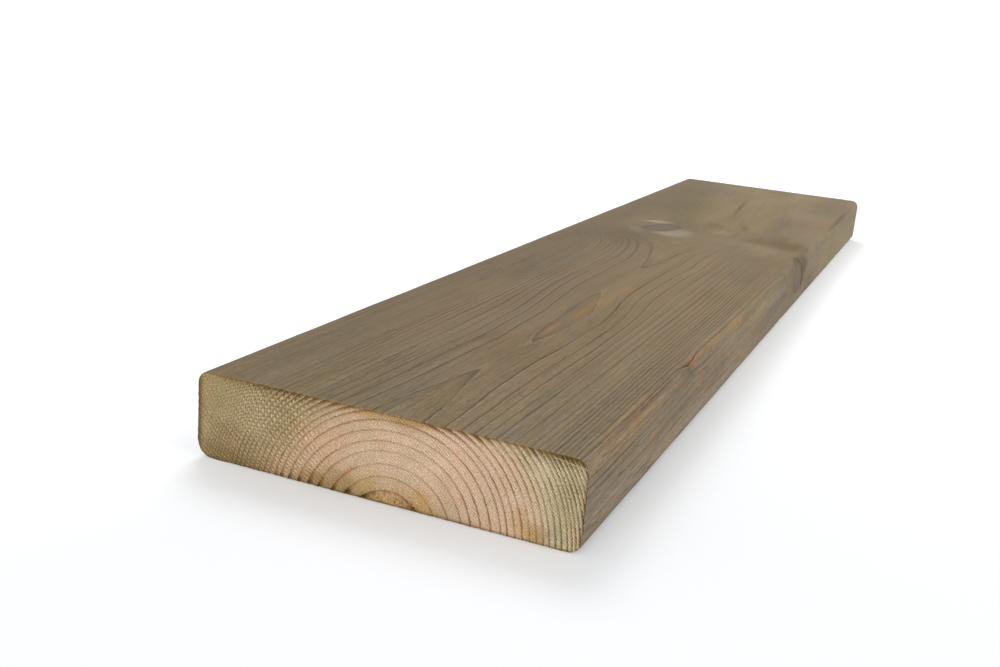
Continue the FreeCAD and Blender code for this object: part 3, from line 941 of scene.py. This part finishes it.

    # reddish specks round the pith, and bright torn fibres along the top edge, lightened further as a painted highlight
    # on the top arris
    reddish = spread(tree, noiseAt(tree, scaleVector(tree, place, 0.9, 1.0, 0.9), 1.0, 2.0, 0.6), 0.52, 0.64)
    inner = spread(tree, growth, 2.8, 3.2, 1.0, 0.0)
    colour = mixColour(tree, "MULTIPLY", calculate(tree, "MULTIPLY", reddish, inner), colour, (0.82, 0.55, 0.48, 1.0))
    olive = spread(tree, noiseAt(tree, scaleVector(tree, place, 0.8, 1.0, -0.8), 1.0, 3.0, 0.7), 0.50, 0.62)
    olive = calculate(tree, "MULTIPLY", olive, spread(tree, growth, 2.7, 3.9, 1.0, 0.0))
    colour = mixColour(tree, "MULTIPLY", olive, colour, (0.66, 0.66, 0.48, 1.0))
    specks = spread(tree, noiseAt(tree, scaleVector(tree, place, 1.2, 1.0, -1.2), 1.0, 1.0, 0.5), 0.64, 0.72)
    specks = calculate(tree, "MULTIPLY", specks, spread(tree, across, 20.0, 45.0, 0.35, 0.75))
    colour = mixColour(tree, "MULTIPLY", specks, colour, (0.55, 0.48, 0.36, 1.0))
    shreds = noiseAt(tree, scaleVector(tree, place, 0.6, 1.0, 0.6), 1.0, 3.0, 0.7)
    dark = calculate(tree, "MULTIPLY", spread(tree, shreds, 0.62, 0.40, 0.25, 0.85), spread(tree, up, 30.9, 31.6))
    colour = mixColour(tree, "MIX", dark, colour, (0.130, 0.084, 0.030, 1.0))
    low = calculate(tree, "MULTIPLY", spread(tree, shreds, 0.58, 0.44, 0.06, 0.62), spread(tree, up, 1.2, 0.2))
    colour = mixColour(tree, "MIX", low, colour, (0.120, 0.080, 0.030, 1.0))
    # painted highlight: the thin bright line along the very top of the end is torn fibres with a painted highlight on
    # the arris
    tornFibreHighlight = calculate(tree, "MULTIPLY", spread(tree, shreds, 0.44, 0.56, 0.0, 0.8), spread(tree, up, 31.58, 31.70))
    colour = mixColour(tree, "MIX", tornFibreHighlight, colour, (0.434, 0.254, 0.089, 1.0))

    # the stray stroke
    (startAcross, startUp), (endAcross, endUp) = sawnFinish["sawLine"]
    slope = (endUp - startUp) / (endAcross - startAcross)
    offLine = calculate(tree, "SUBTRACT", calculate(tree, "MULTIPLY_ADD", across, -slope, up), startUp - slope * startAcross)
    stroke = spread(tree, calculate(tree, "ABSOLUTE", offLine), 0.05, 0.25, 0.40, 0.0)
    stroke = calculate(tree, "MULTIPLY", stroke, spread(tree, across, startAcross, startAcross + 2))
    colour = mixColour(tree, "MIX", stroke, colour, (0.62, 0.55, 0.38, 1.0))

    roughness = spread(tree, pore, 0.3, 0.7, sawnFinish["roughness"][0], sawnFinish["roughness"][1])
    height = calculate(tree, "MULTIPLY", line, -0.06)
    height = calculate(tree, "MULTIPLY_ADD", hatch, 0.10, height)
    height = calculate(tree, "MULTIPLY_ADD", pore, 0.14, height)
    bump = addNode(tree, "ShaderNodeBump", {"Height": height, "Distance": metre, "Strength": 1.0})
    shader = addNode(tree, "ShaderNodeBsdfPrincipled", {"Base Color": colour, "Roughness": roughness,
                                                        "Specular IOR Level": sawnFinish["gloss"],
                                                        "Normal": bump.outputs["Normal"]})
    output = addNode(tree, "ShaderNodeOutputMaterial", {"Surface": shader.outputs["BSDF"]})
    output.location = (400, 0)
    return material


planedBoard = makePlanedBoard()
planedBoard.data.materials.append(makeWeatheredSoftwood())
planedBoard.data.materials.append(makeSawnEndGrain())
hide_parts("decking_board")
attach(planedBoard, "root")
print("board: finished and riding on the frame")


studio = {
    "floorHalf": 30.0,  # metres
    "floorWhite": (0.785, 0.80, 0.82, 1.0),
    "floorGlow": 0.17,  # only what the camera sees of the floor, near the board
    "farGlow": 0.82,
    "farFrom": (0.9, 2.2),  # metres from the board
    "shadowLiftGlow": 0.17,  # and this much more left of the board and towards its far end: painted light that lifts the board's shadows there
    "skyLight": 0.46,
    # each softbox: place in metres, size, power, and the point that it is aimed at
    "softboxes": {
        "overhead": ((-0.75, 1.1, 1.7), 1.1, 22.0, (0, 0, 0)),
        "front": ((0.3, -2.2, 0.75), 1.6, 25.0, (0, -0.3, 0)),
        "right": ((2.2, -0.2, 0.6), 1.8, 25.0, (0, 0, 0)),
    },
}


def makeFloor():
    half = studio["floorHalf"]
    mesh = bpy.data.meshes.new("studioFloor")
    mesh.from_pydata([(-half, -half, 0), (half, -half, 0), (half, half, 0), (-half, half, 0)], [], [(0, 1, 2, 3)])
    floor = bpy.data.objects.new("studioFloor", mesh)
    bpy.context.collection.objects.link(floor)
    material = newMaterial("paleFloor")
    tree = material.node_tree
    paint = addNode(tree, "ShaderNodeBsdfDiffuse", {"Color": studio["floorWhite"]})
    seen = addNode(tree, "ShaderNodeLightPath").outputs["Is Camera Ray"]
    place = addNode(tree, "ShaderNodeTexCoord").outputs["Object"]
    distance = addNode(tree, "ShaderNodeVectorMath", {0: place}, operation="LENGTH").outputs["Value"]
    level = spread(tree, distance, *studio["farFrom"], studio["floorGlow"], studio["farGlow"])
    parts = addNode(tree, "ShaderNodeSeparateXYZ", {"Vector": place}).outputs
    # painted light, seen only by the camera: extra glow left of the board and towards its far end lifts the shadows
    # that the softboxes cast there
    left = spread(tree, calculate(tree, "MULTIPLY_ADD", parts["Y"], -0.35, parts["X"]), 0.10, -0.01)
    farther = spread(tree, parts["Y"], -0.36, 0.16)
    level = calculate(tree, "MULTIPLY_ADD", calculate(tree, "MAXIMUM", left, farther), studio["shadowLiftGlow"], level)
    glow = addNode(tree, "ShaderNodeEmission", {"Strength": calculate(tree, "MULTIPLY", seen, level)})
    both = addNode(tree, "ShaderNodeAddShader", {0: paint.outputs[0], 1: glow.outputs[0]})
    addNode(tree, "ShaderNodeOutputMaterial", {"Surface": both.outputs[0]})
    mesh.materials.append(material)


def makeSky():
    world = bpy.data.worlds.new("studioSky")
    world.use_nodes = True
    tree = world.node_tree
    tree.nodes.clear()
    seen = addNode(tree, "ShaderNodeLightPath").outputs["Is Camera Ray"]
    strength = spread(tree, seen, 0.0, 1.0, studio["skyLight"], 1.0, smooth=False)
    sky = addNode(tree, "ShaderNodeBackground", {"Color": (1, 1, 1, 1), "Strength": strength})
    addNode(tree, "ShaderNodeOutputWorld", {"Surface": sky.outputs[0]})
    bpy.context.scene.world = world


def makeSoftboxes():
    for name, (place, size, power, aim) in studio["softboxes"].items():
        data = bpy.data.lights.new(name + "Softbox", "AREA")
        data.energy = power
        data.size = size
        light = bpy.data.objects.new(name + "Softbox", data)
        bpy.context.collection.objects.link(light)
        light.location = place
        towards = Vector(aim) - light.location
        light.rotation_euler = towards.to_track_quat("-Z", "Y").to_euler()


# The photograph's own viewpoint, fitted to the board's outline
photoCamera = {
    "place": (167.99, -654.88, 162.82),
    "right": (0.91540352, 0.39402801, 0.08233059),
    "down": (0.18009786, -0.21798303, -0.95919141),
    "forward": (-0.36000161, 0.89287476, -0.27050603),
    "lens": 42.206,
    "sensorWidth": 36.0,
}


def makeCamera():
    data = bpy.data.cameras.new("photoCamera")
    data.sensor_fit = "HORIZONTAL"
    data.sensor_width = photoCamera["sensorWidth"]
    data.lens = photoCamera["lens"]
    data.clip_start = 0.01
    camera = bpy.data.objects.new("photoCamera", data)
    bpy.context.collection.objects.link(camera)
    right, down, forward = (photoCamera[name] for name in ("right", "down", "forward"))
    place = [value * metre for value in photoCamera["place"]]
    rows = [(right[i], -down[i], -forward[i], place[i]) for i in range(3)]
    camera.matrix_world = Matrix(rows + [(0, 0, 0, 1)])
    bpy.context.scene.camera = camera


makeFloor()
makeSky()
makeSoftboxes()
makeCamera()
bpy.context.scene.view_settings.view_transform = "Standard"
print("studio: floor, sky, softboxes and camera placed")
